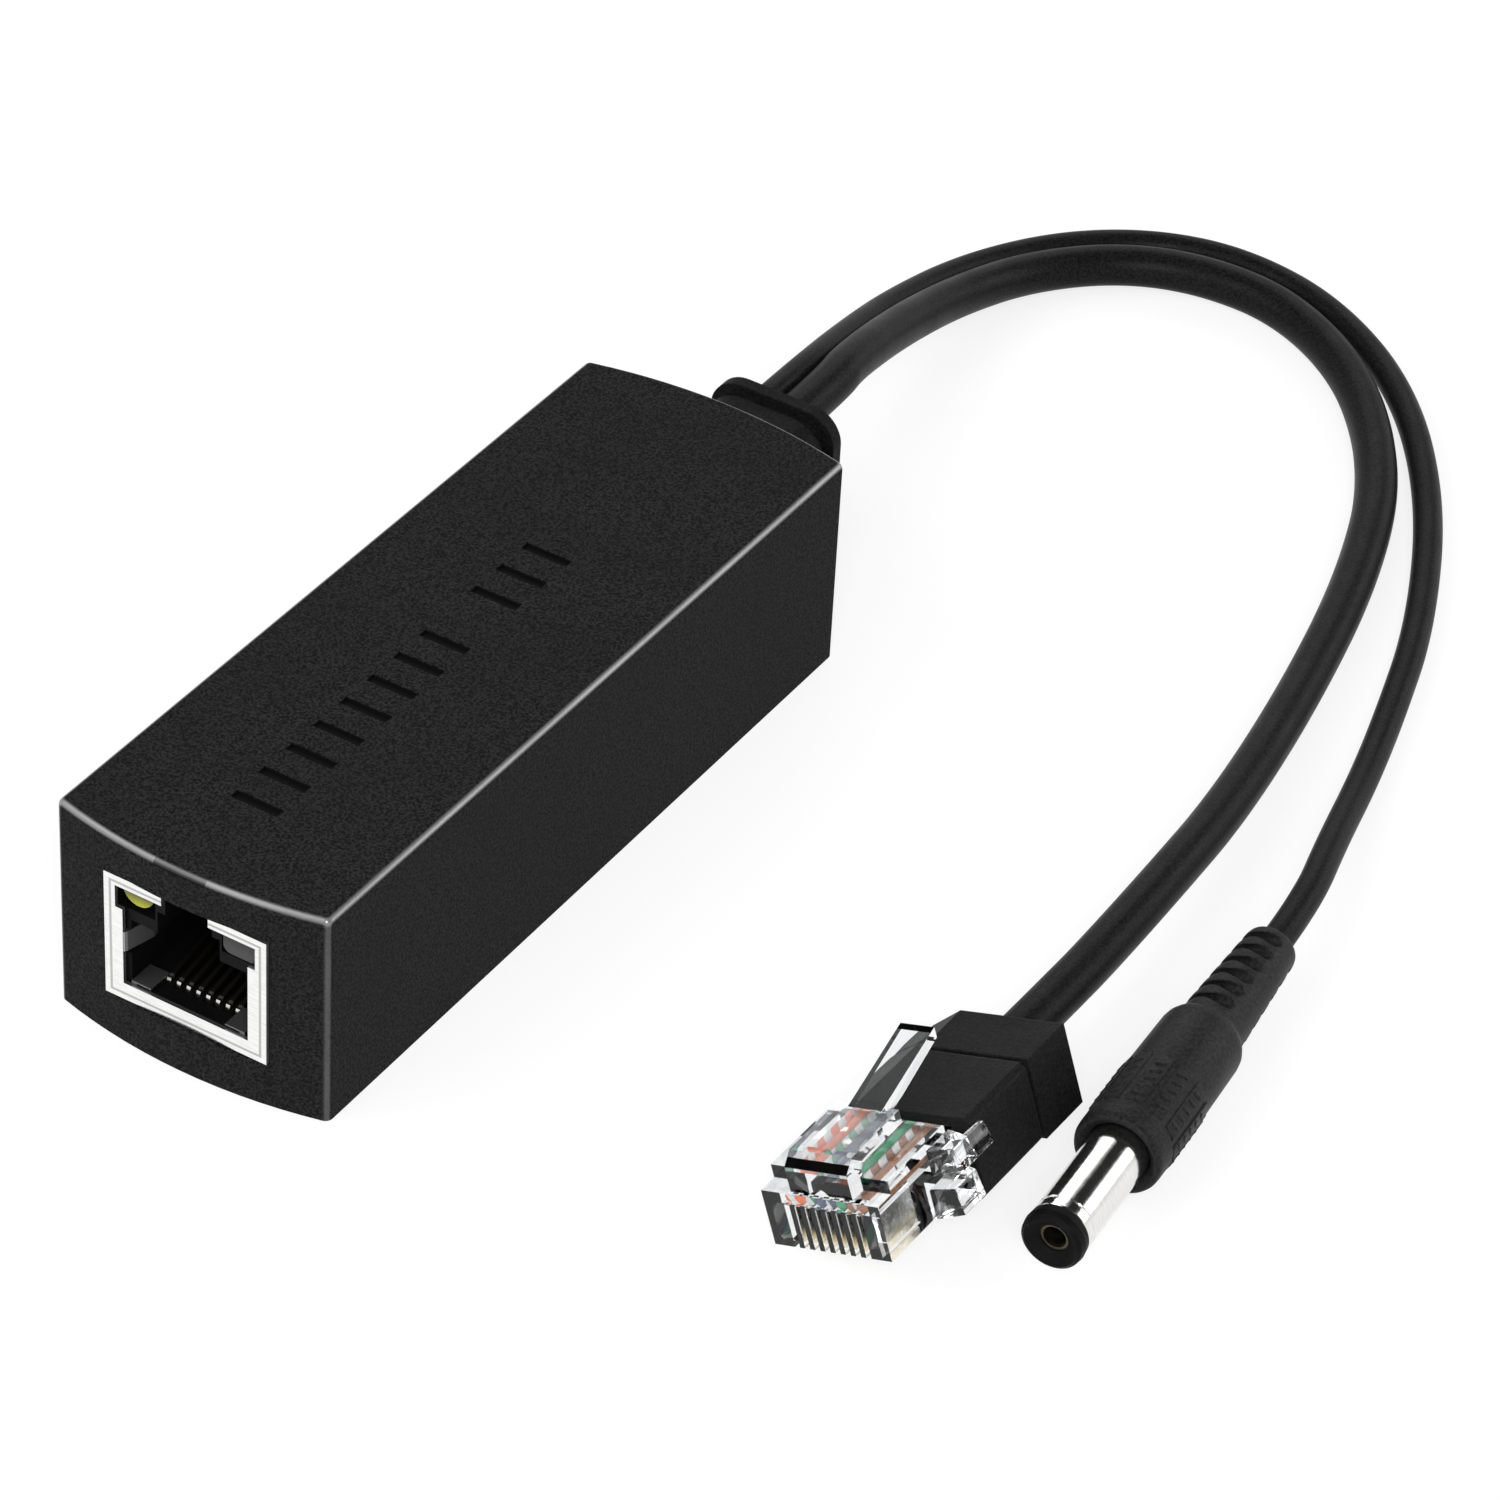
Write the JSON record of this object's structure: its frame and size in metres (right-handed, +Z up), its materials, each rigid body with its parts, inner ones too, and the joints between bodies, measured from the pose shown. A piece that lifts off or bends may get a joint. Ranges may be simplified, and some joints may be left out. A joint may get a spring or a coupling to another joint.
{
  "type": "poe splitter",
  "caption": "Power-over-ethernet splitter: bar-shaped housing with a network socket at one end and a grommet at the other, from which a plugged network lead and a barrel-plug power lead run.",
  "frame": {"origin": "centre of the housing's base, on the surface it stands on", "axes": "+X to the side the two plugs lie on, +Y from the socket's face to the end where the leads come out, +Z up"},
  "size_m": [0.0906, 0.1618, 0.0219],
  "materials": {
    "housing": "fine spark-eroded texture",
    "board": "green solder mask on glass fibre",
    "tinned_steel": "bright tinned sheet",
    "insert": "black nylon",
    "gold": "gold-flashed bronze",
    "lamp_lit": "clear yellow-green lens",
    "lamp_dark": "smoked lens",
    "package": "moulded epoxy with tinned legs",
    "capacitor_can": "satin can in a black sleeve",
    "ferrite": "sintered ferrite",
    "winding": "polyester tape over enamelled wire",
    "chip": "ceramic",
    "grommet": "soft moulded PVC",
    "wire": "PVC insulation",
    "cable_jacket": "smooth PVC jacket with a soft sheen",
    "clear_plastic": "clear polycarbonate",
    "core_orange": "polyethylene insulation",
    "core_green": "polyethylene insulation",
    "core_blue": "polyethylene insulation",
    "core_brown": "polyethylene insulation",
    "core_white_orange": "white polyethylene with an orange stripe",
    "core_white_green": "white polyethylene with a green stripe",
    "core_white_blue": "white polyethylene with a blue stripe",
    "core_white_brown": "white polyethylene with a brown stripe",
    "plated_brass": "nickel-plated brass"
  },
  "bodies": {
    "root": {"top_shell": "housing", "bottom_cover": "housing", "circuit_board": "board", "jack_shield": "tinned_steel", "jack_insert": "insert", "jack_contacts": "gold", "lamp_left": "lamp_lit", "lamp_right": "lamp_dark", "network_transformer": "package", "rectifier_front": "package", "rectifier_rear": "package", "power_controller": "package", "input_capacitor": "capacitor_can", "output_capacitor": "capacitor_can", "transformer_core": "ferrite", "transformer_winding": "winding", "transformer_base": "package", "output_diode": "package", "output_inductor": "ferrite", "chip_parts": "chip", "cable_grommet": "grommet", "network_wires": "wire", "power_wires": "wire", "network_cable": "cable_jacket", "power_cable": "cable_jacket", "plug_body": "clear_plastic", "plug_contacts": "gold", "plug_boot": "grommet", "core_white_orange": "core_white_orange", "core_orange": "core_orange", "core_white_green": "core_white_green", "core_blue": "core_blue", "core_white_blue": "core_white_blue", "core_green": "core_green", "core_white_brown": "core_white_brown", "core_brown": "core_brown", "dc_grip": "grommet", "dc_barrel": "plated_brass", "dc_tip_insulator": "insert", "dc_centre_contact": "plated_brass"}
  },
  "joints": []
}
